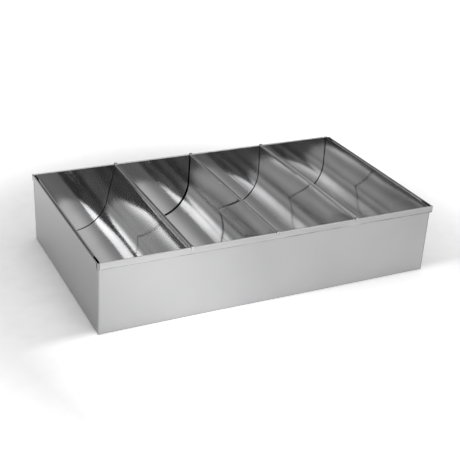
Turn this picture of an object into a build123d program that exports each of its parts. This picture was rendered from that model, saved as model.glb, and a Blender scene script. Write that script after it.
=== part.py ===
from build123d import *
import os
from math import acos, atan2, cos, degrees, hypot, radians, sin

# Counter tray of bent stainless steel sheet, with four round-bottomed troughs side by side.
# Two L-shaped sheets make the casing. Each has a hem folded outwards along its rim and a foot
# flange folded inwards along its lower edge, and they lap at two opposite corners. Four troughs
# hang between the end walls and rest on the foot flanges. A folded cap strip closes each pair
# of neighbouring trough edges, with a tab hooked over the rim at both ends.
#
# Frame: X along the long side, Y from the front wall to the back wall, Z up. The origin is on
# the surface that the tray stands on, under the middle of the tray. All lengths are millimetres.

# Outer size, measured over the folded hems
LENGTH = 520.0
DEPTH = 300.0
HEIGHT = 107.0

# Casing sheet and its folds
CASE_SHEET = 0.8
HEM_HEIGHT = 9.0
HEM_GAP = 0.6
FOOT_WIDTH = 12.0
BEND_RADIUS = 2.1
FOOT_BEND_RADIUS = 1.4
CORNER_TOP_DROP = 1.0
FOOT_CORNER_NOTCH = 13.0
FOOT_NOTCH_HEIGHT = 3.0

# Corner laps: the free ends of the front left sheet cover the strips of the other sheet
LAP_WIDTH = 12.0
LAP_CLEARANCE = 0.05
LAP_TOP_GAP = 2.0
LAP_FOOT_GAP = 0.4
FRONT_LAP_INSET = 2.6
LEFT_LAP_INSET = 4.0
HEM_BUTT_GAP = 0.1

# Troughs
TROUGH_SHEET = 0.6
RIM_INSET = 4.3
FLANK_INSET = 1.8
TROUGH_LENGTH = 291.6
EDGE_HEIGHT = 5.0
SHELF_CLEARANCE = 0.15
SHELF_END_NOTCH = 18.0
SHELF_DROP = 7.0

# All troughs are rolled to one radius, or as far round as the room beside the lowest line allows.
# Each was set in by hand, so its lowest line lies a little off its middle.
TROUGH_COUNT = 4
BELLY_RADIUS = 60.0
BELLY_OFFSETS = (-9.0, 2.0, 6.0, 6.0)
BACK_GAPS = (1.5, 3.0, 1.5, 1.5)

# Divider caps
CAP_SHEET = 0.6
CAP_WIDTH = 5.2
CAP_DEPTH = 3.6
CAP_BEND_RADIUS = 0.6
CAP_END_CLEARANCE = 0.2
CAP_HEADROOM = 0.1
TAB_WIDTH = 4.0
TAB_RISE = 1.0
TAB_CLEARANCE = 0.1
TAB_DROP = 4.5
TAB_ROOT = 1.6
TAB_RAMP = 1.2
TAB_BEND_RADIUS = 0.7

# Derived places
HEM_STEP = CASE_SHEET + HEM_GAP
SIDE_WALL = LENGTH / 2 - HEM_STEP - CASE_SHEET / 2
END_WALL = DEPTH / 2 - HEM_STEP - CASE_SHEET / 2
FOLD_Z = HEIGHT - CASE_SHEET / 2 - HEM_STEP / 2
FOOT_BEND_Z = CASE_SHEET / 2 + FOOT_BEND_RADIUS
SIDE_WALL_INSIDE = SIDE_WALL - CASE_SHEET / 2
END_WALL_INSIDE = END_WALL - CASE_SHEET / 2
LAP_STEP = CASE_SHEET + LAP_CLEARANCE
PITCH = (LENGTH - 2 * RIM_INSET) / TROUGH_COUNT
TROUGH_TOP = HEIGHT - CAP_SHEET - CAP_HEADROOM
FLANK_TOP = TROUGH_TOP - EDGE_HEIGHT
TROUGH_FLOOR = CASE_SHEET + TROUGH_SHEET / 2


def rim_profile():
    """Section of the outward hem and its fold: first axis outwards from the wall, second up."""
    hem = Line((HEM_STEP, HEIGHT - HEM_HEIGHT), (HEM_STEP, FOLD_Z))
    fold = ThreePointArc((HEM_STEP, FOLD_Z), (HEM_STEP / 2, FOLD_Z + HEM_STEP / 2), (0, FOLD_Z))
    return trace([hem, fold], CASE_SHEET)


def panel_profile():
    """Section of the upright wall, its lower bend and the foot flange."""
    wall = Line((0, FOLD_Z), (0, FOOT_BEND_Z))
    bend = CenterArc((-FOOT_BEND_RADIUS, FOOT_BEND_Z), FOOT_BEND_RADIUS, 0, -90)
    foot = Line((-FOOT_BEND_RADIUS, CASE_SHEET / 2), (-FOOT_WIDTH, CASE_SHEET / 2))
    return trace([wall, bend, foot], CASE_SHEET)


def front_run(profile, low_x, high_x):
    """Extrude a section along the front wall between two X positions."""
    plane = Plane(origin=(high_x, -END_WALL, 0), x_dir=(0, -1, 0), z_dir=(-1, 0, 0))
    return extrude(plane * profile, high_x - low_x)


def left_run(profile, low_y, high_y):
    """Extrude a section along the left wall between two Y positions."""
    plane = Plane(origin=(-SIDE_WALL, low_y, 0), x_dir=(-1, 0, 0), z_dir=(0, 1, 0))
    return extrude(plane * profile, high_y - low_y)


def upright(line, low_z, high_z):
    """Stand a sheet on a line drawn in plan."""
    return extrude(Pos(0, 0, low_z) * trace(line, CASE_SHEET), high_z - low_z)


def corner_bend():
    """Round upright bend where the front wall turns into the left wall."""
    centre = (BEND_RADIUS - SIDE_WALL, BEND_RADIUS - END_WALL)
    return upright(CenterArc(centre, BEND_RADIUS, 180, 90), 0, HEIGHT - CORNER_TOP_DROP)


def foot_notch(low_y):
    """Space cut from the left wall's foot flange where it would meet the next wall's flange."""
    inner_x = FOOT_WIDTH + 1 - SIDE_WALL
    outer_x = FOOT_BEND_RADIUS + CASE_SHEET - SIDE_WALL
    block = Box(inner_x - outer_x, FOOT_CORNER_NOTCH, FOOT_NOTCH_HEIGHT)
    return Pos((inner_x + outer_x) / 2, low_y + FOOT_CORNER_NOTCH / 2, 0) * block


def bent_sheet(front_end, left_end, front_hem_end, left_hem_end):
    """One casing sheet: a front wall and a left wall joined by the round bend between them."""
    front_start = BEND_RADIUS - SIDE_WALL
    left_start = BEND_RADIUS - END_WALL
    sheet = front_run(panel_profile(), front_start, front_end)
    sheet += left_run(panel_profile(), left_start, left_end)
    sheet += front_run(rim_profile(), front_start, front_hem_end)
    sheet += left_run(rim_profile(), left_start, left_hem_end)
    sheet += corner_bend()
    sheet -= foot_notch(left_start)
    sheet -= foot_notch(left_end - FOOT_CORNER_NOTCH)
    return sheet


def lap_strips(front_end, left_end):
    """Bends and narrow strips that continue both free ends of a sheet behind its neighbour."""
    low_z = FOOT_BEND_Z + LAP_FOOT_GAP
    high_z = HEIGHT - LAP_TOP_GAP
    front_centre = (front_end, BEND_RADIUS - END_WALL)
    front_strip_x = front_end + BEND_RADIUS
    front_strip = Line((front_strip_x, front_centre[1]), (front_strip_x, front_centre[1] + LAP_WIDTH))
    left_centre = (BEND_RADIUS - SIDE_WALL, left_end)
    left_strip_y = left_end + BEND_RADIUS
    left_strip = Line((left_centre[0], left_strip_y), (left_centre[0] + LAP_WIDTH, left_strip_y))
    strips = upright(CenterArc(front_centre, BEND_RADIUS, 270, 90), 0, HEIGHT - CORNER_TOP_DROP)
    strips += upright(CenterArc(left_centre, BEND_RADIUS, 90, 90), 0, HEIGHT - CORNER_TOP_DROP)
    strips += upright(front_strip, low_z, high_z)
    strips += upright(left_strip, low_z, high_z)
    return strips


def front_left_casing():
    """Front and left walls; the free ends and their hems cover the other sheet's corners."""
    front_end = SIDE_WALL + CASE_SHEET / 2 - FRONT_LAP_INSET
    left_end = END_WALL + CASE_SHEET / 2 - LEFT_LAP_INSET
    return bent_sheet(front_end, left_end, LENGTH / 2, DEPTH / 2)


def back_right_casing():
    """Back and right walls: the same bent sheet turned half round, with its lap strips."""
    back_end = SIDE_WALL - LAP_STEP - BEND_RADIUS
    right_end = END_WALL - LAP_STEP - BEND_RADIUS
    sheet = bent_sheet(
        back_end, right_end, SIDE_WALL_INSIDE - HEM_BUTT_GAP, END_WALL_INSIDE - HEM_BUTT_GAP
    )
    sheet += lap_strips(back_end, right_end)
    return Rot(0, 0, 180) * sheet


def tangent_angle(top_x, bottom_x, radius):
    """Angle in degrees, at the bend's centre, where the sloping flank touches the bend."""
    rise = FLANK_TOP - (TROUGH_FLOOR + radius)
    run = abs(top_x - bottom_x)
    return degrees(atan2(rise, run) - acos(min(1, radius / hypot(rise, run))))


def half_trough(top_x, bottom_x, side):
    """Upright edge, flank and rounded lower part on one side of a trough (1 right, -1 left)."""
    radius = min(BELLY_RADIUS, abs(top_x - bottom_x))
    angle = tangent_angle(top_x, bottom_x, radius)
    start_angle = 270 if side > 0 else 180 - angle
    bend = CenterArc((bottom_x, TROUGH_FLOOR + radius), radius, start_angle, 90 + angle)
    touch_x = bottom_x + side * radius * cos(radians(angle))
    touch_z = TROUGH_FLOOR + radius + radius * sin(radians(angle))
    flank = Line((touch_x, touch_z), (top_x, FLANK_TOP))
    edge = Line((top_x, FLANK_TOP), (top_x, TROUGH_TOP))
    return [bend, flank, edge]


def trough(index):
    """One U-shaped trough: both flanks, the rounded bottom and a shelf on an outer edge."""
    middle = (index - (TROUGH_COUNT - 1) / 2) * PITCH
    half_width = PITCH / 2 - FLANK_INSET + TROUGH_SHEET / 2
    bottom_x = middle + BELLY_OFFSETS[index]
    back_y = END_WALL_INSIDE - BACK_GAPS[index]
    section = half_trough(middle + half_width, bottom_x, 1)
    section += half_trough(middle - half_width, bottom_x, -1)
    plane = Plane(origin=(0, back_y, 0), x_dir=(1, 0, 0), z_dir=(0, -1, 0))
    body = extrude(plane * trace(section, TROUGH_SHEET), TROUGH_LENGTH)
    if index == 0:
        body += trough_shelf(middle - half_width, -1, back_y)
    if index == TROUGH_COUNT - 1:
        body += trough_shelf(middle + half_width, 1, back_y)
    return body


def trough_shelf(flank_x, side, back_y):
    """Narrow strip from an outer flank's top edge, sloping down to the side wall, notched at its ends."""
    outer_x = side * (SIDE_WALL_INSIDE - SHELF_CLEARANCE - TROUGH_SHEET / 2)
    strip = Line((flank_x, TROUGH_TOP - TROUGH_SHEET / 2), (outer_x, TROUGH_TOP - SHELF_DROP))
    plane = Plane(origin=(0, back_y - SHELF_END_NOTCH, 0), x_dir=(1, 0, 0), z_dir=(0, -1, 0))
    return extrude(plane * trace(strip, TROUGH_SHEET), TROUGH_LENGTH - 2 * SHELF_END_NOTCH)


def cap_profile():
    """Section of a cap strip across the divider: an inverted channel."""
    half = (CAP_WIDTH - CAP_SHEET) / 2
    top = HEIGHT - CAP_SHEET / 2
    low = HEIGHT - CAP_DEPTH
    line = FilletPolyline((-half, low), (-half, top), (half, top), (half, low), radius=CAP_BEND_RADIUS)
    return trace(line, CAP_SHEET)


def cap_tab():
    """Tab at the back end of a cap: rises over the hem and turns down outside it."""
    start = END_WALL_INSIDE - CAP_END_CLEARANCE - TAB_ROOT
    over = HEIGHT + TAB_RISE
    outside = DEPTH / 2 + TAB_CLEARANCE + CAP_SHEET / 2
    points = [
        (start, HEIGHT - CAP_SHEET / 2),
        (start + TAB_RAMP, over),
        (outside, over),
        (outside, HEIGHT - TAB_DROP),
    ]
    plane = Plane(origin=(-TAB_WIDTH / 2, 0, 0), x_dir=(0, 1, 0), z_dir=(1, 0, 0))
    return extrude(plane * trace(FilletPolyline(*points, radius=TAB_BEND_RADIUS), CAP_SHEET), TAB_WIDTH)


def divider_cap(index):
    """Cap strip over the edges of two neighbouring troughs, with a hooked tab at each end."""
    half_length = END_WALL_INSIDE - CAP_END_CLEARANCE
    plane = Plane(origin=(0, half_length, 0), x_dir=(1, 0, 0), z_dir=(0, -1, 0))
    strip = extrude(plane * cap_profile(), 2 * half_length)
    strip += cap_tab()
    strip += Rot(0, 0, 180) * cap_tab()
    return Pos((index + 1 - TROUGH_COUNT / 2) * PITCH, 0, 0) * strip


def build_parts():
    """Every separate sheet of the tray by name."""
    parts = {
        "front_left_casing": front_left_casing(),
        "back_right_casing": back_right_casing(),
    }
    for index in range(TROUGH_COUNT):
        parts[f"trough_{index + 1}"] = trough(index)
    for index in range(TROUGH_COUNT - 1):
        parts[f"divider_cap_{index + 1}"] = divider_cap(index)
    return parts


os.makedirs("parts", exist_ok=True)
for name, shape in build_parts().items():
    export_step(shape, f"parts/{name}.step")
    print(name, len(shape.solids()), round(shape.volume, 1))
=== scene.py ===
import math

import bpy
import numpy as np
from mathutils import Matrix, Vector


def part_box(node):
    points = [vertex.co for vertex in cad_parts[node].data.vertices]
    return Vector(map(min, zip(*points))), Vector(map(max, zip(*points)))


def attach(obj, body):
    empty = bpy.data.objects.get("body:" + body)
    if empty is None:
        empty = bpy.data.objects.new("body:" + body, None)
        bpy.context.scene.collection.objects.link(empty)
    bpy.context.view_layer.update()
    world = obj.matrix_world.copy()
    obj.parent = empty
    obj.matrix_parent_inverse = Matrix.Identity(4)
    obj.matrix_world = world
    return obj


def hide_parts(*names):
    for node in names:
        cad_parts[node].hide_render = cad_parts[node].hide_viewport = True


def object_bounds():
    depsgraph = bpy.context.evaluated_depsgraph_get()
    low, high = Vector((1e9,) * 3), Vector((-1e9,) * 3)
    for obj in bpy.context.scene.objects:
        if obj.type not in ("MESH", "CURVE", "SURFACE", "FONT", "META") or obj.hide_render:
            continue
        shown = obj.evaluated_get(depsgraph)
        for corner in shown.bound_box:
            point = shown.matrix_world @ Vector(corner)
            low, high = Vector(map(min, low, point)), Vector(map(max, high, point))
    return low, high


# Counter tray of bent stainless steel sheet: two L-shaped casing sheets with hems folded over
# the rim, four polished round-bottomed troughs, and three folded caps over the dividers.
# Every sheet is swept here from its section, in millimetres, with real thickness and cut edges.

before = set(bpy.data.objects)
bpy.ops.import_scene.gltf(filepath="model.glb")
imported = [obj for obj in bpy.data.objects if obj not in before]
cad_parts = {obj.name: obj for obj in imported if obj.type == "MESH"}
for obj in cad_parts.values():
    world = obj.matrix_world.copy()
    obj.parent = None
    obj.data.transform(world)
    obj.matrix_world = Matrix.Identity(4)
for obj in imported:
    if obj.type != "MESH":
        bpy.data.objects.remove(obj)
cad_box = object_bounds()

MM = 0.001

# Outer size of the tray, read from the frame
BOX_LOW, BOX_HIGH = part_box("front_left_casing")
LENGTH = 2 * abs(BOX_LOW.x) / MM
DEPTH = 2 * abs(BOX_LOW.y) / MM
HEIGHT = BOX_HIGH.z / MM

# Casing sheets
CASE_SHEET = 0.8
HEM_HEIGHT = 9.0
HEM_STEP = 1.4
HEM_END_GAP = 0.1
FOOT_WIDTH = 12.0
BEND_RADIUS = 2.1
FOOT_BEND_RADIUS = 1.4
FOOT_NOTCH = 13.0
LAP_WIDTH = 12.0
LAP_STEP = 0.85
LAP_TOP_GAP = 2.0
EAR_REACH = 2.0
FRONT_LAP_INSET = 2.6
LEFT_LAP_INSET = 4.0

SIDE_WALL = LENGTH / 2 - HEM_STEP - CASE_SHEET / 2
END_WALL = DEPTH / 2 - HEM_STEP - CASE_SHEET / 2
FOLD_Z = HEIGHT - CASE_SHEET / 2 - HEM_STEP / 2
HEM_LOW = HEIGHT - HEM_HEIGHT
HEM_RISE = FOLD_Z - HEIGHT + HEM_HEIGHT
FOOT_BEND_Z = CASE_SHEET / 2 + FOOT_BEND_RADIUS
SIDE_INSIDE = SIDE_WALL - CASE_SHEET / 2
END_INSIDE = END_WALL - CASE_SHEET / 2

# Free ends of the two casing sheets
FRONT_END = SIDE_WALL + CASE_SHEET / 2 - FRONT_LAP_INSET
LEFT_END = END_WALL + CASE_SHEET / 2 - LEFT_LAP_INSET
BACK_END = SIDE_WALL - LAP_STEP - BEND_RADIUS
RIGHT_END = END_WALL - LAP_STEP - BEND_RADIUS

# Front hem: open on the left and most at the corner, pressed flat on the right but for one lift
HEM_OPEN = 0.42
FLARE_REACH = 0.35
FLARE_X = -256
FLARE_WIDTH = 16
HEM_PRESSED = 0.52
LIFT_REACH = 0.45
LIFT_X = 126
LIFT_WIDTH = 26
HEM_SAG = 1.3
HEM_REACH_MOST = 0.6
OTHER_HEM_PRESSED = 0.12
PRESS_START_X = 0
PRESS_FULL_X = 70
RIPPLE_FADE_X = 20
RIPPLE_END_X = 90
SAG_START_X = 60
SAG_FULL_X = 240

# Ripples along the hems' free edges: height, length and phase of each
FRONT_RIPPLES = ((0.10, 17.0, 0.0), (0.08, 6.3, 1.0))
FRONT_DROP_RIPPLES = ((0.25, 23.0, 0.0),)
OTHER_RIPPLES = ((0.12, 19.0, 2.0), (0.08, 7.7, 0.0))
OTHER_DROP_RIPPLES = ((0.3, 31.0, 0.0),)

# The back wall's bend at the back left lap stands out, by these parts of its reach low and high
EAR_FOOT_PART = 0.35
EAR_TOP_PART = 0.65
EAR_STATION = 3
EAR_STATIONS = 6

# Casing walls: a slight waviness away from the corners, and one shallow crease in the front wall
WALL_SWAY = 0.16
SWAY_LENGTH = 61.0
SWAY_PHASE = 1.3
CROSS_SWAY = 0.6
CROSS_SWAY_LENGTH = 37.0
CROSS_SWAY_RISE = 40
CORNER_CALM = 45
CREASE_DEPTH = 0.25
CREASE_START_X = -84
CREASE_X = -58
CREASE_END_X = 10

# Troughs: all are rolled to one radius, or as far round as the room beside the lowest line allows.
# The lowest line lies a little off each trough's middle.
TROUGH_COUNT = 4
BELLY_RADIUS = 60.0
BELLY_OFFSETS = (-9.0, 2.0, 6.0, 6.0)
BACK_GAPS = (1.5, 3.0, 1.5, 1.5)
TROUGH_SHEET = 0.6
TROUGH_LENGTH = 291.6
RIM_INSET = 4.3
FLANK_INSET = 1.8
EDGE_HEIGHT = 5.0
PITCH = (LENGTH - 2 * RIM_INSET) / TROUGH_COUNT
TROUGH_TOP = HEIGHT - 0.7
FLANK_TOP = TROUGH_TOP - EDGE_HEIGHT
TROUGH_FLOOR = CASE_SHEET + TROUGH_SHEET / 2
SHELF_BEND = 0.7
SHELF_NOTCH = 18.0
SHELF_DROP = 7.0
SHELF_CLEARANCE = 0.15

# Right flanks lean off their divider, above a height and more towards the front
DIVIDER_OPENING = 1.5
OPENING_LOW_Z = 60
OPENING_START_Y = 90
OPENING_FULL_Y = -60

# Waviness of the polished sheet: two crossing waves that fade out at the edges and at the floor
LONG_WAVE = 0.14
LONG_WAVE_Y = 29.0
LONG_WAVE_ROUND = 21.0
LONG_WAVE_BEND = 0.6
LONG_WAVE_BEND_ROUND = 33.0
CROSS_WAVE = 0.10
CROSS_WAVE_Y = 47.0
CROSS_WAVE_ROUND = 38.0
WAVE_PHASE = 1.7
LONG_WAVE_TURN = 2.1
CROSS_WAVE_TURN = 2.6
EDGE_CALM = 25
FLOOR_CALM_LOW = 1.3
FLOOR_CALM_HIGH = 12

# Divider caps
CAP_SHEET = 0.6
CAP_WIDTH = 5.2
CAP_DEPTH = 3.6
CAP_BEND = 0.6
CAP_END_GAP = 0.2
CAP_LIP = 0.3
CAP_BOW = 0.25
CAP_BOW_LENGTH = 55.0
LEFT_SPLAY = 0.5
RIGHT_SPLAY = 0.25
SPLAY_START_Y = 20
SPLAY_FULL_Y = -140
RAMP_ROOM = 1.6
RAMP_LENGTH = 1.9
TAB_LIFT = 1.0
TAB_GAP = 0.1
TAB_BEND = 0.7
TAB_DEPTHS = (2.5, 4.2, 4.5)

# Spacing of the meshes' rows and stations
HEM_ROW_STEPS = (0, 0.04, 0.14, 0.3, 0.48, 0.66, 0.82, 0.93)
FOOT_ROW_STEPS = (0.05, 0.5, 0.95, 1.0)
FLANK_STEPS = (0.04, 0.12, 0.24, 0.38, 0.52, 0.66, 0.8, 0.9, 0.96, 0.985)
EDGE_STEPS = (0.12, 0.3, 0.6, 1.0)
EASE_PLACES = (0, 0.25, 0.8, 1.8, 3.4)
EASE_LENGTH = 5.5
ROW_PITCH = 3.0
STATION_PITCH = 4.0
FOLD_CELLS = 14
FOOT_BEND_CELLS = 6
LAP_CELLS = 8
CORNER_CELLS = 10
BELLY_POINTS = 64
SHELF_BEND_CELLS = 8
TROUGH_STATIONS = 90
NOTCH_STATIONS = 6
NOTCH_STARTS = (0, 0.002)
NOTCH_STEP = 0.01
CAP_BEND_CELLS = 6
TAB_BEND_POINTS = 8
CAP_STATIONS = 80
TAB_MARGIN_CELLS = 8
CUT_ROUNDING = 0.45


def smooth(low, high, value):
    """Smooth step from 0 at low to 1 at high."""
    t = np.clip((np.asarray(value, float) - low) / (high - low), 0, 1)
    return t * t * (3 - 2 * t)


def bump_at(value, centre, width):
    """Smooth hump of height 1 at a centre, fading to 0 over a half width."""
    return 1 - smooth(0, width, abs(np.asarray(value, float) - centre))


def ripple(along, waves):
    """Sum of sine waves at a place, each with its height, length and phase."""
    return sum(height * math.sin(along / length + phase) for height, length, phase in waves)


def unit(vectors):
    """Vectors scaled to length 1 along the last axis."""
    return vectors / np.maximum(np.linalg.norm(vectors, axis=-1, keepdims=True), 1e-9)


# ---------------------------------------------------------------- sheet meshes


def boundary_edges(quads):
    """Directed edges that only one of the quads has."""
    edges = np.concatenate([quads[:, [k, (k + 1) % 4]] for k in range(4)])
    key = edges[:, 0] * (quads.max() + 1) + edges[:, 1]
    back = edges[:, 1] * (quads.max() + 1) + edges[:, 0]
    return edges[~np.isin(key, back)]


def sheet_mesh(name, middle, normal, keep, thickness, hem_rows=0):
    """Closed mesh of a bent sheet: a grid of middle-surface points, their normals and the kept cells.

    Material 0 is on the side that the normals point to, after the hem rows. Material 1 is on all
    the rest: the hem rows, the other side and the cut edges.
    """
    rows, cols = middle.shape[:2]
    used = np.zeros((rows, cols), bool)
    for i in (0, 1):
        for j in (0, 1):
            used[i : rows - 1 + i, j : cols - 1 + j] |= keep
    index = np.full((rows, cols), -1)
    index[used] = np.arange(used.sum())
    points, normals = middle[used], unit(normal[used])
    corners = [index[:-1, :-1], index[1:, :-1], index[1:, 1:], index[:-1, 1:]]
    quads = np.stack([c[keep] for c in corners], 1)
    side_a = points[quads[:, 1]] - points[quads[:, 0]]
    side_b = points[quads[:, 3]] - points[quads[:, 0]]
    facing = (np.cross(side_a, side_b) * normals[quads[:, 0]]).sum()
    if facing < 0:
        quads = quads[:, ::-1]
    edges = boundary_edges(quads)
    outward = np.zeros_like(points)
    across = unit(np.cross(points[edges[:, 1]] - points[edges[:, 0]], normals[edges[:, 0]]))
    np.add.at(outward, edges[:, 0], across)
    np.add.at(outward, edges[:, 1], across)
    rim = np.unique(edges)
    ring = np.full(len(points), -1)
    ring[rim] = np.arange(len(rim)) + 2 * len(points)
    half = thickness / 2
    cut = points[rim] + unit(outward[rim]) * half * CUT_ROUNDING
    verts = np.concatenate([points + normals * half, points - normals * half, cut]) * MM
    verts = np.clip(verts, cad_box[0], cad_box[1])
    count = len(points)
    a, b = edges[:, 0], edges[:, 1]
    faces = np.concatenate([
        quads,
        quads[:, ::-1] + count,
        np.stack([b, a, ring[a], ring[b]], 1),
        np.stack([ring[b], ring[a], a + count, b + count], 1),
    ])
    mesh = bpy.data.meshes.new(name)
    mesh.from_pydata(verts.tolist(), [], faces.tolist())
    mesh.polygons.foreach_set("use_smooth", [True] * len(mesh.polygons))
    in_hem = np.repeat(np.arange(rows - 1) < hem_rows, cols - 1).reshape(keep.shape)
    finish = np.ones(len(faces), int)
    finish[: len(quads)] = in_hem[keep]
    mesh.polygons.foreach_set("material_index", finish)
    made = np.empty(len(mesh.edges) * 2, int)
    mesh.edges.foreach_get("vertices", made)
    made = np.sort(made.reshape(-1, 2), 1)
    sharp_pairs = np.sort(np.concatenate([edges, edges + count]), 1)
    size = len(verts)
    sharp = np.isin(made[:, 0] * size + made[:, 1], sharp_pairs[:, 0] * size + sharp_pairs[:, 1])
    attribute = mesh.attributes.new("sharp_edge", "BOOLEAN", "EDGE")
    attribute.data.foreach_set("value", sharp)
    mesh.validate()
    mesh.update()
    return mesh


def place(name, mesh, materials, node):
    """Object for a finished sheet: it stands for its CAD node and rides on the tray's one body."""
    piece = bpy.data.objects.new(name, mesh)
    bpy.context.scene.collection.objects.link(piece)
    for material in materials:
        mesh.materials.append(material)
    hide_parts(node)
    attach(piece, "root")
    return piece


# ---------------------------------------------------------------- casing


def eased(length, pitch):
    """Steps from 0 to 1 along a length, close together beside the bends at both ends."""
    near = np.array(EASE_PLACES)
    between = np.linspace(EASE_LENGTH, length - EASE_LENGTH, max(2, int(length / pitch)))
    return np.concatenate([near, between, (length - near)[::-1]]) / length


def casing_rows():
    """Section of the casing sheet from the hem's lower edge over the rim and down to the foot.

    Each row is kind, distance outwards from the wall, height, and the normal's two parts.
    """
    rows = []
    half = HEM_STEP / 2
    for t in HEM_ROW_STEPS:
        rows.append(("hem", HEM_STEP, HEM_LOW + t * HEM_RISE, 1, 0))
    for angle in np.linspace(0, math.pi, FOLD_CELLS + 1):
        c, s = math.cos(angle), math.sin(angle)
        rows.append(("fold", half + half * c, FOLD_Z + half * s, c, s))
    for t in eased(FOLD_Z - FOOT_BEND_Z, ROW_PITCH)[1:]:
        rows.append(("wall", 0, FOLD_Z + (FOOT_BEND_Z - FOLD_Z) * t, -1, 0))
    for angle in np.linspace(0, math.pi / 2, FOOT_BEND_CELLS + 1)[1:]:
        c, s = math.cos(angle), math.sin(angle)
        rows.append(("bend", -FOOT_BEND_RADIUS * (1 - c), FOOT_BEND_Z - FOOT_BEND_RADIUS * s, -c, s))
    for t in FOOT_ROW_STEPS:
        out = FOOT_BEND_RADIUS + t * (FOOT_WIDTH - FOOT_BEND_RADIUS)
        rows.append(("foot", -out, CASE_SHEET / 2, 0, 1))
    return rows


def straight(kind, start, end, outward, steps):
    """Plan stations along a straight wall, each with kind, place and outward direction."""
    start, end = np.array(start, float), np.array(end, float)
    return [(kind, start + (end - start) * t, np.array(outward, float)) for t in steps]


def turn(kind, centre, from_angle, count):
    """Plan stations round a quarter-turn bend, without its first one."""
    stations = []
    for angle in np.radians(np.linspace(from_angle, from_angle + 90, count + 1))[1:]:
        out = np.array([math.cos(angle), math.sin(angle)])
        stations.append((kind, np.array(centre) + out * BEND_RADIUS, out))
    return stations


def casing_stations(front_end, left_end, is_back, front_hem, left_hem):
    """Plan stations of one L-shaped sheet, from its left wall's free end to its front wall's.

    Beyond each free end comes a lap strip on the back sheet, and the hem's longer tip on the other.
    """
    left_x, front_y = -SIDE_WALL, -END_WALL
    r = BEND_RADIUS
    stations = []
    if is_back:
        strip = ((left_x + r + LAP_WIDTH, left_end + r), (left_x + r, left_end + r))
        stations += straight("lap", *strip, (0, 1), (0, 0.5, 1))
        stations += turn("lap", (left_x + r, left_end), 90, LAP_CELLS)
    else:
        stations += straight("tip", (left_x, left_hem), (left_x, left_end), (-1, 0), (0, 0.5, 1))
    stations[-1] = ("left", np.array([left_x, left_end]), np.array([-1.0, 0.0]))
    steps = eased(left_end - front_y - r, STATION_PITCH)[1:]
    stations += straight("left", (left_x, left_end), (left_x, front_y + r), (-1, 0), steps)
    stations += turn("corner", (left_x + r, front_y + r), 180, CORNER_CELLS)
    stations[-1] = ("front", np.array([left_x + r, front_y]), np.array([0.0, -1.0]))
    steps = eased(front_end - left_x - r, STATION_PITCH)[1:]
    stations += straight("front", (left_x + r, front_y), (front_end, front_y), (0, -1), steps)
    if is_back:
        stations += turn("lap", (front_end, front_y + r), 270, LAP_CELLS)
        strip = ((front_end + r, front_y + r), (front_end + r, front_y + r + LAP_WIDTH))
        stations += straight("lap", *strip, (1, 0), (0.5, 1))
    else:
        stations += straight("tip", (front_end, front_y), (front_hem, front_y), (0, -1), (0.5, 1))
    return stations


def hem_shape(out, along, is_back):
    """Shift of a hem's free edge outwards and downwards at a place along the wall."""
    if abs(out[1]) > 0.5 and not is_back:
        to_right = smooth(PRESS_START_X, PRESS_FULL_X, along)
        wave = ripple(along, FRONT_RIPPLES) * (1 - smooth(RIPPLE_FADE_X, RIPPLE_END_X, along))
        lift = bump_at(along, LIFT_X, LIFT_WIDTH)
        proud = HEM_OPEN * (1 - to_right) + wave
        proud += FLARE_REACH * bump_at(along, FLARE_X, FLARE_WIDTH)
        pressed = -HEM_PRESSED * to_right * (1 - lift)
        sag = HEM_SAG * smooth(SAG_START_X, SAG_FULL_X, along)
        drop = ripple(along, FRONT_DROP_RIPPLES) - sag
        return min(proud + pressed + LIFT_REACH * lift, HEM_REACH_MOST), drop
    return -OTHER_HEM_PRESSED + ripple(along, OTHER_RIPPLES), ripple(along, OTHER_DROP_RIPPLES)


def casing_keep(rows, stations, first_straight, last_straight, is_back, left_end):
    """Cells of a casing's grid that are steel: corners, lap tops and foot flange ends are cut out."""
    keep = np.ones((len(rows) - 1, len(stations) - 1), bool)
    foot_start = FOOT_NOTCH - END_WALL + BEND_RADIUS
    foot_end = left_end - FOOT_NOTCH
    for j in range(len(stations) - 1):
        pair = {stations[j][0], stations[j + 1][0]}
        y = (stations[j][1][1] + stations[j + 1][1][1]) / 2
        in_lap = j < first_straight or j >= last_straight
        in_corner = not in_lap and pair != {"left"} and pair != {"front"}
        foot_notched = pair == {"left"} and (y < foot_start or y > foot_end)
        beyond_end = first_straight - 1 - j if j < first_straight else j - last_straight
        for i in range(len(rows) - 1):
            lower = rows[i + 1][0]
            if lower in ("hem", "fold"):
                gone = in_corner or (in_lap and is_back and beyond_end >= LAP_CELLS)
            else:
                gone = in_lap and (not is_back or rows[i][2] > HEIGHT - LAP_TOP_GAP)
            if lower == "foot":
                gone = gone or in_corner or in_lap or foot_notched
            keep[i, j] = not gone
    return keep


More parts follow.
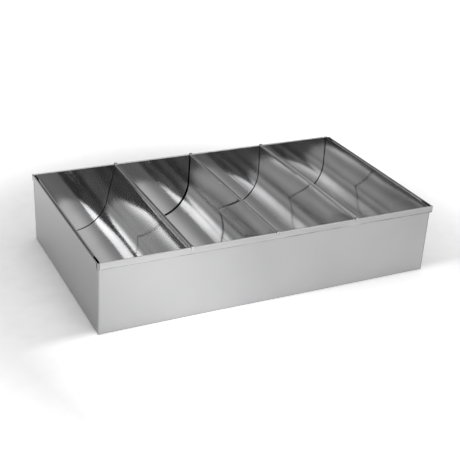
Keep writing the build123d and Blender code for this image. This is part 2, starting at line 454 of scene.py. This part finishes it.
def casing(name, node, is_back, front_end, left_end, front_hem, left_hem):
    """One casing sheet with walls, hems, round corner bend and foot flanges.

    Both sheets are laid out at the front left. The back right one is then turned half way round.
    """
    rows = casing_rows()
    stations = casing_stations(front_end, left_end, is_back, front_hem, left_hem)
    shape = (len(rows), len(stations), 3)
    middle, normal = np.zeros(shape), np.zeros(shape)
    kinds = [row[0] for row in rows]
    plan = [station[0] for station in stations]
    first_straight = plan.index("left")
    last_straight = len(plan) - 1 - plan[::-1].index("front")
    first_bend = kinds.index("bend")
    bend_rows = kinds.index("foot") - first_bend
    phase = SWAY_PHASE if is_back else 0.0
    for j, (kind, base, out) in enumerate(stations):
        rim_base, rim_out = base, out
        if kind == "lap" and j < first_straight:
            rim_out = np.array([-1.0, 0.0])
            t = min((first_straight - j) / LAP_CELLS, 1)
            rim_base = np.array([-SIDE_WALL, left_end + (left_hem - left_end) * t])
        if kind == "lap" and j > last_straight:
            rim_out = np.array([0.0, -1.0])
            t = min((j - last_straight) / LAP_CELLS, 1)
            rim_base = np.array([front_end + (front_hem - front_end) * t, -END_WALL])
        rim_along = rim_base[0] if abs(rim_out[1]) > 0.5 else rim_base[1]
        proud, drop = hem_shape(rim_out, rim_along, is_back)
        along = base[0] if abs(out[1]) > 0.5 else base[1]
        limit = SIDE_WALL if abs(out[1]) > 0.5 else END_WALL
        calm = smooth(0, CORNER_CALM, limit - abs(along))
        for i, (part, o, z, no, nz) in enumerate(rows):
            use_base, use_out = base, out
            if kind == "lap" and j > last_straight and part == "wall":
                ear = EAR_REACH * (EAR_FOOT_PART + EAR_TOP_PART * z / HEIGHT)
                ear = ear * bump_at(j - last_straight, EAR_STATION, EAR_STATIONS)
                use_base = base + np.array([ear, 0.0])
            if part in ("hem", "fold"):
                use_base, use_out = rim_base, rim_out
            if part == "hem":
                t = (FOLD_Z - z) / HEM_RISE
                o = o + proud * t * t
                z = z + drop * t
            if part == "wall":
                belly = math.sin(math.pi * (z - FOOT_BEND_Z) / (FOLD_Z - FOOT_BEND_Z)) ** 2
                sway = math.sin(along / SWAY_LENGTH + phase)
                sway += CROSS_SWAY * math.sin(along / CROSS_SWAY_LENGTH + z / CROSS_SWAY_RISE)
                o = o + WALL_SWAY * belly * calm * sway
                if not is_back and abs(out[1]) > 0.5:
                    rising = smooth(CREASE_START_X, CREASE_X, along)
                    falling = smooth(CREASE_END_X, CREASE_X, along)
                    o = o + CREASE_DEPTH * calm * rising * falling
            if part in ("bend", "foot") and kind in ("corner", "lap", "tip"):
                t = (i - first_bend + 1) / bend_rows
                o, z, no, nz = 0, FOOT_BEND_Z * (1 - min(t, 1)), -1, 0
            middle[i, j] = [use_base[0] + use_out[0] * o, use_base[1] + use_out[1] * o, z]
            normal[i, j] = [use_out[0] * no, use_out[1] * no, nz]
    keep = casing_keep(rows, stations, first_straight, last_straight, is_back, left_end)
    if is_back:
        middle[..., :2] *= -1
        normal[..., :2] *= -1
    mesh = sheet_mesh(name, middle, normal, keep, CASE_SHEET, kinds.index("wall"))
    return place(name, mesh, (casing_inside, casing_outside), node)


# ---------------------------------------------------------------- troughs


def half_section(top_x, bottom_x, side):
    """Middle line of half a trough from its lowest point up, with normals inwards: arc and flank."""
    run = abs(top_x - bottom_x)
    radius = min(BELLY_RADIUS, run)
    centre_z = TROUGH_FLOOR + radius
    rise = FLANK_TOP - centre_z
    angle = math.atan2(rise, run) - math.acos(min(1, radius / math.hypot(rise, run)))
    turn_by = np.linspace(-math.pi / 2, angle, BELLY_POINTS)[:, None]
    arc = np.hstack([bottom_x + side * radius * np.cos(turn_by), centre_z + radius * np.sin(turn_by)])
    arc_normals = np.hstack([-side * np.cos(turn_by), -np.sin(turn_by)])
    return with_edge(arc, arc_normals, top_x, side)


def with_edge(curve, normals, top_x, side):
    """Add the flat flank and the upright edge above a trough's rolled part."""
    touch, top = curve[-1], np.array([top_x, FLANK_TOP])
    flank = touch + (top - touch) * np.array(FLANK_STEPS)[:, None]
    edge = np.array([(top_x, FLANK_TOP + t * EDGE_HEIGHT) for t in EDGE_STEPS])
    points = np.vstack([curve, flank, edge])
    leaning = np.tile(normals[-1], (len(flank), 1))
    upright = np.tile([-side, 0], (len(edge), 1))
    return points.tolist(), np.vstack([normals, leaning, upright]).tolist()


def shelf_rows(top_x, side, wall_x):
    """Rolled edge on an outer flank and the narrow strip that slopes from it down to the side wall."""
    points, normals = [], []
    slope = math.atan2(SHELF_DROP, abs(wall_x - top_x))
    for t in np.linspace(0, math.pi / 2 + slope, SHELF_BEND_CELLS + 1)[1:]:
        x = top_x + side * SHELF_BEND * (1 - math.cos(t))
        z = TROUGH_TOP - SHELF_BEND + SHELF_BEND * math.sin(t)
        points.append((x, z))
        normals.append((-side * math.cos(t), math.sin(t)))
    bend_x, bend_z = points[-1]
    strip_normal = normals[-1]
    for t in (0.5, 1.0):
        across = abs(wall_x - bend_x) * t
        points.append((bend_x + side * across, bend_z - across * math.tan(slope)))
        normals.append(strip_normal)
    return points, normals


def trough(index):
    """One trough: both flanks, the rounded bottom and a shelf on an outer edge."""
    centre = (index - (TROUGH_COUNT - 1) / 2) * PITCH
    half_width = PITCH / 2 - FLANK_INSET + TROUGH_SHEET / 2
    low_x = centre + BELLY_OFFSETS[index]
    right, right_normals = half_section(centre + half_width, low_x, 1)
    left, left_normals = half_section(centre - half_width, low_x, -1)
    points = left[::-1] + right[1:]
    normals = left_normals[::-1] + right_normals[1:]
    left_shelf = right_shelf = 0
    wall_x = SIDE_INSIDE - SHELF_CLEARANCE - TROUGH_SHEET / 2
    bend_start = TROUGH_TOP - SHELF_BEND
    if index == 0:
        extra, extra_normals = shelf_rows(points[0][0], -1, -wall_x)
        points[0] = (points[0][0], bend_start)
        points, normals = extra[::-1] + points, extra_normals[::-1] + normals
        left_shelf = len(extra)
    if index == TROUGH_COUNT - 1:
        extra, extra_normals = shelf_rows(points[-1][0], 1, wall_x)
        points[-1] = (points[-1][0], bend_start)
        points, normals = points + extra, normals + extra_normals
        right_shelf = len(extra)

    back_y = END_INSIDE - BACK_GAPS[index]
    notch = SHELF_NOTCH / TROUGH_LENGTH
    near_end = np.concatenate([NOTCH_STARTS, np.linspace(NOTCH_STEP, notch, NOTCH_STATIONS)])
    between = np.linspace(notch, 1 - notch, TROUGH_STATIONS)[1:-1]
    steps = np.concatenate([near_end, between, 1 - near_end[::-1]])
    ys = back_y - steps * TROUGH_LENGTH

    section = np.array(points)
    section_normal = np.array(normals, float)
    section_x, section_z = section[:, 0][:, None], section[:, 1][:, None]
    normal_x, normal_z = section_normal[:, 0][:, None], section_normal[:, 1][:, None]
    run = np.concatenate([[0], np.cumsum(np.linalg.norm(np.diff(section, axis=0), axis=1))])
    s, y = np.meshgrid(run, ys, indexing="ij")
    height = section_z + 0 * y
    calm = smooth(0, EDGE_CALM, TROUGH_TOP - height) * smooth(FLOOR_CALM_LOW, FLOOR_CALM_HIGH, height)
    phase = WAVE_PHASE * index
    bent = LONG_WAVE_BEND * np.sin(s / LONG_WAVE_BEND_ROUND)
    around = np.sin(s / LONG_WAVE_ROUND + LONG_WAVE_TURN * phase)
    wave = LONG_WAVE * np.sin(y / LONG_WAVE_Y + phase + bent) * around
    slanting = np.sin(y / CROSS_WAVE_Y - s / CROSS_WAVE_ROUND + CROSS_WAVE_TURN * phase)
    wave += CROSS_WAVE * slanting

    middle = np.zeros(s.shape + (3,))
    normal = np.zeros_like(middle)
    middle[..., 0] = section_x + normal_x * wave * calm
    if index < TROUGH_COUNT - 1:
        upper_right = smooth(OPENING_LOW_Z, TROUGH_TOP, height) * (section_x > low_x)
        middle[..., 0] -= DIVIDER_OPENING * smooth(OPENING_START_Y, OPENING_FULL_Y, y) * upper_right
    middle[..., 1] = y
    middle[..., 2] = section_z + normal_z * wave * calm
    normal[..., 0] = normal_x
    normal[..., 2] = normal_z

    keep = np.ones((len(points) - 1, len(ys) - 1), bool)
    end_cells = len(near_end) - 1
    ends = [*range(end_cells), *range(len(ys) - 1 - end_cells, len(ys) - 1)]
    if left_shelf:
        keep[:left_shelf, ends] = False
    if right_shelf:
        keep[-right_shelf:, ends] = False
    name = f"trough_{index + 1}_polished"
    mesh = sheet_mesh(name, middle, normal, keep, TROUGH_SHEET)
    return place(name, mesh, (trough_steel, trough_steel), f"trough_{index + 1}")


# ---------------------------------------------------------------- divider caps


def tab_line(reach):
    """Side view of a cap's end tab as places along Y and heights, from the strip over the hem."""
    top = HEIGHT - CAP_SHEET / 2
    over = HEIGHT + TAB_LIFT
    outside = DEPTH / 2 + TAB_GAP + CAP_SHEET / 2
    line = [(reach, top), (reach + 0.5, top + 0.3), (reach + 1.2, over - 0.12)]
    line.append((reach + RAMP_LENGTH, over))
    for angle in np.linspace(math.pi / 2, 0, TAB_BEND_POINTS):
        y = outside - TAB_BEND + TAB_BEND * math.cos(angle)
        z = over - TAB_BEND + TAB_BEND * math.sin(angle)
        line.append((y, z))
    line += [(outside, HEIGHT - depth) for depth in TAB_DEPTHS]
    return np.array(line)


def divider_cap(index):
    """Folded channel over two trough edges, with a tab at each end hooked over the hem."""
    half = (CAP_WIDTH - CAP_SHEET) / 2
    top, low = HEIGHT - CAP_SHEET / 2, HEIGHT - CAP_DEPTH
    sides = []
    for side in (-1, 1):
        part = [(side * half, z, side, 0) for z in (low, low + CAP_LIP, (low + top) / 2)]
        for angle in np.linspace(0, math.pi / 2, CAP_BEND_CELLS + 1):
            c, s = math.cos(angle), math.sin(angle)
            x = side * (half - CAP_BEND + CAP_BEND * c)
            part.append((x, top - CAP_BEND + CAP_BEND * s, side * c, s))
        sides.append(part)
    section = np.array(sides[0] + [(0, top, 0, 1)] + sides[1][::-1], float)

    reach = END_INSIDE - CAP_END_GAP - RAMP_ROOM
    tab = tab_line(reach)
    front_tab = [(-y, z) for y, z in tab[:0:-1]]
    strip = [(y, top) for y in np.linspace(-reach, reach, CAP_STATIONS + 1)]
    back_tab = [(y, z) for y, z in tab[1:]]
    line = np.array(front_tab + strip + back_tab)
    first = len(front_tab)
    last = first + CAP_STATIONS
    tangent = unit(np.gradient(line, axis=0))

    shape = (len(section), len(line), 3)
    middle, normal = np.zeros(shape), np.zeros(shape)
    for j, (y, z) in enumerate(line):
        t_y, t_z = tangent[j]
        left_splay = smooth(SPLAY_START_Y, SPLAY_FULL_Y, y) * LEFT_SPLAY
        bow = CAP_BOW * math.sin(y / CAP_BOW_LENGTH + index)
        for i, (x, section_z, nx, nz) in enumerate(section):
            drop = top - section_z
            if first <= j <= last:
                splay = -left_splay * (drop / CAP_DEPTH) if x < 0 else RIGHT_SPLAY * drop / CAP_DEPTH
                middle[i, j] = [x + splay + bow, y, section_z]
                normal[i, j] = [nx, 0, nz]
            else:
                middle[i, j] = [x + bow, y + t_z * drop, z - t_y * drop]
                normal[i, j] = [nx, -t_z * nz, t_y * nz]
    middle[..., 0] += (index - 1) * PITCH

    keep = np.ones((len(section) - 1, len(line) - 1), bool)
    in_tab = np.zeros(len(section) - 1, bool)
    in_tab[TAB_MARGIN_CELLS:-TAB_MARGIN_CELLS] = True
    keep[:, :first] = in_tab[:, None]
    keep[:, last:] = in_tab[:, None]
    name = f"divider_cap_{index + 1}_folded"
    mesh = sheet_mesh(name, middle, normal, keep, CAP_SHEET)
    return place(name, mesh, (cap_steel, cap_steel), f"divider_cap_{index + 1}")


# ---------------------------------------------------------------- materials


class Nodes:
    """Small helper that adds and links nodes in one tree."""

    def __init__(self, tree):
        self.tree = tree

    def add(self, kind, **settings):
        node = self.tree.nodes.new(kind)
        for key, value in settings.items():
            setattr(node, key, value)
        return node

    def link(self, source, target):
        self.tree.links.new(source, target)

    def feed(self, socket, value):
        """Link an output to a socket, or set a constant on it."""
        if hasattr(value, "is_output"):
            self.link(value, socket)
        else:
            socket.default_value = value

    def math(self, operation, a, b=0.0):
        node = self.add("ShaderNodeMath", operation=operation)
        self.feed(node.inputs[0], a)
        self.feed(node.inputs[1], b)
        return node.outputs[0]

    def remap(self, value, from_low, from_high, to_low, to_high):
        """Smooth step between two values, held beyond them."""
        node = self.add("ShaderNodeMapRange", interpolation_type="SMOOTHSTEP")
        for socket, number in zip(node.inputs, (value, from_low, from_high, to_low, to_high)):
            self.feed(socket, number)
        return node.outputs[0]

    def mix(self, amount, start, end):
        """Colour between two colours."""
        node = self.add("ShaderNodeMix", data_type="RGBA")
        self.feed(node.inputs[0], amount)
        self.feed(node.inputs[6], start)
        self.feed(node.inputs[7], end)
        return node.outputs[2]

    def noise(self, vector, stretch, scale, detail=3.0, roughness=0.55):
        mapping = self.add("ShaderNodeMapping")
        self.link(vector, mapping.inputs["Vector"])
        mapping.inputs["Scale"].default_value = stretch
        node = self.add("ShaderNodeTexNoise")
        self.link(mapping.outputs[0], node.inputs["Vector"])
        node.inputs["Scale"].default_value = scale
        node.inputs["Detail"].default_value = detail
        node.inputs["Roughness"].default_value = roughness
        return node.outputs["Fac"]

    def places(self):
        """Object coordinates, in metres in the tray's own frame."""
        return self.add("ShaderNodeTexCoord").outputs["Object"]

    def apart(self, vector):
        """The three parts of a vector."""
        node = self.add("ShaderNodeSeparateXYZ")
        self.link(vector, node.inputs[0])
        return node.outputs


def grey(level, blue=None):
    """Colour with one level for red and green, and the same or another for blue."""
    return (level, level, level if blue is None else blue, 1)


def new_material(name):
    """Material with an empty node tree but for its shader and output."""
    material = bpy.data.materials.new(name)
    material.use_nodes = True
    material.node_tree.nodes.clear()
    nodes = Nodes(material.node_tree)
    shader = nodes.add("ShaderNodeBsdfPrincipled")
    output = nodes.add("ShaderNodeOutputMaterial")
    nodes.link(shader.outputs[0], output.inputs[0])
    return material, nodes, shader


# Steel finish: shares of clouds and grain, and the noise levels between which each effect grows
CLOUD_SHARE = 0.7
GRAIN_SHARE = 0.3
TONE_LEVELS = (0.35, 0.65)
GLOSS_LEVELS = (0.3, 0.7)
SCRATCH_LEVELS = (0.62, 0.72)
SCRATCH_STRETCH = 0.35
SCRATCH_DULLING = 0.03
GRAIN_BUMP = 0.6


def steel(name, light, dark, roughness, grain, grain_depth, cloud_scale):
    """Stainless steel: rolling grain along the sheet, faint clouds in tone and gloss, fine scratches."""
    material, nodes, shader = new_material(name)
    shader.inputs["Metallic"].default_value = 1.0
    where = nodes.places()
    clouds = nodes.noise(where, (1, 1, 1), cloud_scale, 2.0)
    lines = nodes.noise(where, grain, 1.0, 4.0, 0.6)
    scratch = nodes.noise(where, tuple(g * SCRATCH_STRETCH for g in grain), 1.0, 1.0)
    fine = nodes.remap(scratch, *SCRATCH_LEVELS, 0.0, 1.0)
    cloud_part = nodes.math("MULTIPLY", clouds, CLOUD_SHARE)
    grain_part = nodes.math("MULTIPLY", lines, GRAIN_SHARE)
    amount = nodes.math("ADD", cloud_part, grain_part)
    tone = nodes.mix(nodes.remap(amount, *TONE_LEVELS, 0.0, 1.0), dark, light)
    nodes.link(tone, shader.inputs["Base Color"])
    gloss = nodes.remap(amount, *GLOSS_LEVELS, *roughness)
    dulled = nodes.math("ADD", gloss, nodes.math("MULTIPLY", fine, SCRATCH_DULLING))
    nodes.link(dulled, shader.inputs["Roughness"])
    bump = nodes.add("ShaderNodeBump")
    bump.inputs["Strength"].default_value = GRAIN_BUMP
    bump.inputs["Distance"].default_value = grain_depth
    nodes.link(lines, bump.inputs["Height"])
    nodes.link(bump.outputs[0], shader.inputs["Normal"])
    return material


# Painted shade: dark lines beside the casing's edges, where a sheet's edge stands off the wall: drop
# below the hem and half widths, and how patchy and dark
HEM_LINE_DROP = 0.8
HEM_LINE_WIDTH = 1.3
LEFT_LAP_LINE_WIDTH = 1.6
FRONT_LAP_LINE_WIDTH = 1.0
PATCH_STRETCH = (30, 30, 1)
PATCH_LEVELS = (0.35, 0.6)
PATCH_LEAST = 0.3
PAINTED_SHADE_STRENGTH = 0.8
PAINTED_SHADE_COLOUR = grey(0.03)


def add_painted_gap_shade(material):
    """Paint shade into a steel's colour where a sheet's edge stands off the wall: dark lines under the
    hem and beside both laps.
    """
    nodes = Nodes(material.node_tree)
    shader = material.node_tree.nodes["Principled BSDF"]
    plain = shader.inputs["Base Color"].links[0].from_socket
    where = nodes.places()
    x, y, z = nodes.apart(where)

    def line(value, place_at, half_width):
        away = nodes.math("ABSOLUTE", nodes.math("SUBTRACT", value, place_at * MM))
        return nodes.remap(away, 0.0, half_width * MM, 1.0, 0.0)

    patches = nodes.noise(where, PATCH_STRETCH, 1.0)
    patchy = nodes.remap(patches, *PATCH_LEVELS, PATCH_LEAST, 1.0)
    shade_under_hem = nodes.math("MULTIPLY", line(z, HEM_LOW - HEM_LINE_DROP, HEM_LINE_WIDTH), patchy)
    at_lap = nodes.math("LESS_THAN", nodes.math("MULTIPLY", x, y), 0.0)
    below_hem = nodes.math("LESS_THAN", z, HEM_LOW * MM)
    left_lap = line(y, LEFT_END, LEFT_LAP_LINE_WIDTH)
    front_lap = line(x, FRONT_END, FRONT_LAP_LINE_WIDTH)
    shade_beside_laps = nodes.math("MAXIMUM", left_lap, front_lap)
    shade_beside_laps = nodes.math("MULTIPLY", shade_beside_laps, nodes.math("MULTIPLY", at_lap, below_hem))
    amount = nodes.math("MULTIPLY", nodes.math("MAXIMUM", shade_under_hem, shade_beside_laps), PAINTED_SHADE_STRENGTH)
    nodes.link(nodes.mix(amount, plain, PAINTED_SHADE_COLOUR), shader.inputs["Base Color"])


# Painted light on a cap: the distances from its middle where the painted highlight on the folded edges
# starts and is full, and the length of the painted shade at the back end, with the strength and colour
# of each
EDGE_HIGHLIGHT_START = 1.4
EDGE_HIGHLIGHT_FULL = 2.2
EDGE_HIGHLIGHT_STRENGTH = 0.8
EDGE_HIGHLIGHT_COLOUR = grey(0.74)
END_SHADE_LENGTH = 3
END_SHADE_STRENGTH = 0.85
END_SHADE_COLOUR = grey(0.05)


def add_painted_edge_highlights_and_end_shade(material):
    """Paint a highlight on a cap's two folded edges and paint shade on the tab that hooks over the back
    rim.
    """
    nodes = Nodes(material.node_tree)
    shader = material.node_tree.nodes["Principled BSDF"]
    plain = shader.inputs["Base Color"].links[0].from_socket
    x, y, _ = nodes.apart(nodes.places())
    from_middle = nodes.math("PINGPONG", nodes.math("ABSOLUTE", x), PITCH / 2 * MM)
    edge_highlight = nodes.remap(from_middle, EDGE_HIGHLIGHT_START * MM, EDGE_HIGHLIGHT_FULL * MM, 0.0, EDGE_HIGHLIGHT_STRENGTH)
    bright = nodes.mix(edge_highlight, plain, EDGE_HIGHLIGHT_COLOUR)
    end_shade_start = (END_INSIDE - END_SHADE_LENGTH) * MM
    end_shade = nodes.remap(y, end_shade_start, END_INSIDE * MM, 0.0, END_SHADE_STRENGTH)
    nodes.link(nodes.mix(end_shade, bright, END_SHADE_COLOUR), shader.inputs["Base Color"])


SATIN_ANISOTROPY = 0.85
SATIN_GRAIN_TURN = 0.25

casing_inside = steel(
    "casing_inside_steel",
    light=grey(0.60),
    dark=grey(0.57, 0.575),
    roughness=(0.08, 0.12),
    grain=(60, 60, 1500),
    grain_depth=0.0000002,
    cloud_scale=9.0,
)
casing_outside = steel(
    "casing_satin_steel",
    light=grey(0.42),
    dark=grey(0.39, 0.395),
    roughness=(0.30, 0.36),
    grain=(60, 60, 2200),
    grain_depth=0.000002,
    cloud_scale=9.0,
)
satin_shader = casing_outside.node_tree.nodes["Principled BSDF"]
satin_shader.inputs["Anisotropic"].default_value = SATIN_ANISOTROPY
satin_shader.inputs["Anisotropic Rotation"].default_value = SATIN_GRAIN_TURN
# Painted shade lines under the hem and beside the laps on the satin outside
add_painted_gap_shade(casing_outside)
trough_steel = steel(
    "trough_polished_steel",
    light=grey(0.61),
    dark=grey(0.57, 0.575),
    roughness=(0.06, 0.10),
    grain=(900, 30, 900),
    grain_depth=0.0000001,
    cloud_scale=14.0,
)
cap_steel = steel(
    "cap_satin_steel",
    light=grey(0.46),
    dark=grey(0.40, 0.405),
    roughness=(0.18, 0.28),
    grain=(2000, 60, 2000),
    grain_depth=0.000002,
    cloud_scale=20.0,
)
# Painted highlights on the caps' folded edges and painted shade at their back ends
add_painted_edge_highlights_and_end_shade(cap_steel)

# ---------------------------------------------------------------- the tray

casing(
    "front_left_sheet",
    "front_left_casing",
    is_back=False,
    front_end=FRONT_END,
    left_end=LEFT_END,
    front_hem=LENGTH / 2,
    left_hem=DEPTH / 2,
)
casing(
    "back_right_sheet",
    "back_right_casing",
    is_back=True,
    front_end=BACK_END,
    left_end=RIGHT_END,
    front_hem=SIDE_INSIDE - HEM_END_GAP,
    left_hem=END_INSIDE - HEM_END_GAP,
)
for number in range(TROUGH_COUNT):
    trough(number)
for number in range(TROUGH_COUNT - 1):
    divider_cap(number)

# ---------------------------------------------------------------- camera, floor and light

AZIMUTH = math.radians(-27.31)
ELEVATION = math.radians(26.48)
ROLL = math.radians(3.43)
CAMERA_PLACE = Vector((-598.6, -1164.4, 692.4)) * MM
LENS = 75.23
SENSOR_WIDTH = 36.0
CAMERA_REACH = 100.0


def make_camera():
    """Camera at the photograph's viewing angle."""
    level = math.cos(ELEVATION)
    ahead = Vector((-math.sin(AZIMUTH) * level, math.cos(AZIMUTH) * level, -math.sin(ELEVATION)))
    side = ahead.cross(Vector((0, 0, 1))).normalized()
    above = side.cross(ahead)
    across = side * math.cos(ROLL) + above * math.sin(ROLL)
    upward = above * math.cos(ROLL) - side * math.sin(ROLL)
    data = bpy.data.cameras.new("camera")
    data.lens = LENS
    data.sensor_width = SENSOR_WIDTH
    data.clip_end = CAMERA_REACH
    camera = bpy.data.objects.new("camera", data)
    turned = Matrix((across, upward, -ahead)).transposed().to_4x4()
    camera.matrix_world = Matrix.Translation(CAMERA_PLACE) @ turned
    bpy.context.scene.collection.objects.link(camera)
    bpy.context.scene.camera = camera


# Painted light on the floor, as glow, in metres: a strip in front of the tray, brighter at one place,
# and a lift far away
FLOOR_REACH = 40.0
POOL_X = -0.12
POOL_WIDTH = 0.14
POOL_GLOW = 0.6
STRIP_GLOW = 0.32
STRIP_FULL_Y = -0.16
STRIP_END_Y = -0.13
STRIP_FULL_X = 0.24
STRIP_END_X = 0.42
FAR_START = 0.34
FAR_FULL = 0.55
FAR_GLOW = 0.35

# Floor paper
PAPER_CLOUD_SCALE = 40.0
PAPER_LEVELS = (0.3, 0.7)
PAPER_DARK = grey(0.90)
PAPER_LIGHT = grey(0.93)
PAPER_ROUGHNESS = 0.9
PAPER_SPECULAR = 0.1


def make_floor():
    """Plain pale floor with painted light: it glows a little where studio light would fall on it."""
    r = FLOOR_REACH
    mesh = bpy.data.meshes.new("floor")
    mesh.from_pydata([(-r, -r, 0), (r, -r, 0), (r, r, 0), (-r, r, 0)], [], [(0, 1, 2, 3)])
    floor = bpy.data.objects.new("floor", mesh)
    bpy.context.scene.collection.objects.link(floor)
    paper, nodes, shader = new_material("floor_paper")
    where = nodes.places()
    clouds = nodes.noise(where, (1, 1, 1), PAPER_CLOUD_SCALE, 4.0)
    shade = nodes.remap(clouds, *PAPER_LEVELS, 0.0, 1.0)
    nodes.link(nodes.mix(shade, PAPER_DARK, PAPER_LIGHT), shader.inputs["Base Color"])
    shader.inputs["Roughness"].default_value = PAPER_ROUGHNESS
    shader.inputs["Specular IOR Level"].default_value = PAPER_SPECULAR
    shader.inputs["Emission Color"].default_value = grey(1)

    x, y, _ = nodes.apart(where)
    from_pool = nodes.math("DIVIDE", nodes.math("SUBTRACT", x, POOL_X), POOL_WIDTH)
    falling = nodes.math("MULTIPLY", nodes.math("MULTIPLY", from_pool, from_pool), -1.0)
    pool = nodes.math("MULTIPLY", nodes.math("EXPONENT", falling), POOL_GLOW)
    in_front = nodes.remap(y, STRIP_FULL_Y, STRIP_END_Y, 1.0, 0.0)
    between = nodes.remap(nodes.math("ABSOLUTE", x), STRIP_FULL_X, STRIP_END_X, 1.0, 0.0)
    near = nodes.math("MULTIPLY", in_front, nodes.math("ADD", pool, STRIP_GLOW))
    near = nodes.math("MULTIPLY", near, between)
    distance = nodes.add("ShaderNodeVectorMath", operation="LENGTH")
    nodes.link(where, distance.inputs[0])
    far = nodes.remap(distance.outputs["Value"], FAR_START, FAR_FULL, 0.0, FAR_GLOW)
    nodes.link(nodes.math("MAXIMUM", near, far), shader.inputs["Emission Strength"])
    mesh.materials.append(paper)


# Studio lights: azimuth, elevation and softness in degrees, and strength.
# Azimuth 0 is the tray's right and 90 its back.
LIGHTS = (
    (45, 15, 8, 2.4),
    (90, 15, 8, 1.8),
    (115, 15, 10, 0.6),
    (235, 15, 10, 0.7),
    (270, 30, 12, 1.2),
    (295, 15, 8, 6.5),
    (0, 90, 25, 2.9),
)
ROOM_LIGHT = 0.03


def make_studio():
    """Surroundings with a faint even light and one soft round patch for each studio light."""
    world = bpy.data.worlds.new("studio")
    bpy.context.scene.world = world
    world.use_nodes = True
    world.node_tree.nodes.clear()
    sky = Nodes(world.node_tree)
    direction = sky.add("ShaderNodeTexCoord").outputs["Generated"]
    total = ROOM_LIGHT
    for azimuth, elevation, spread, strength in LIGHTS:
        a, e = math.radians(azimuth), math.radians(elevation)
        facing = sky.add("ShaderNodeVectorMath", operation="DOT_PRODUCT")
        sky.link(direction, facing.inputs[0])
        towards = (math.cos(a) * math.cos(e), math.sin(a) * math.cos(e), math.sin(e))
        facing.inputs[1].default_value = towards
        away = sky.math("SUBTRACT", facing.outputs["Value"], 1.0)
        falloff = sky.math("MULTIPLY", away, 1 / math.radians(spread) ** 2)
        patch = sky.math("MULTIPLY", sky.math("EXPONENT", falloff), strength)
        total = sky.math("ADD", patch, total)
    background = sky.add("ShaderNodeBackground")
    sky.link(total, background.inputs["Strength"])
    output = sky.add("ShaderNodeOutputWorld")
    sky.link(background.outputs[0], output.inputs[0])


make_camera()
make_floor()
make_studio()
bpy.context.scene.view_settings.view_transform = "Standard"
bpy.context.scene.view_settings.look = "None"
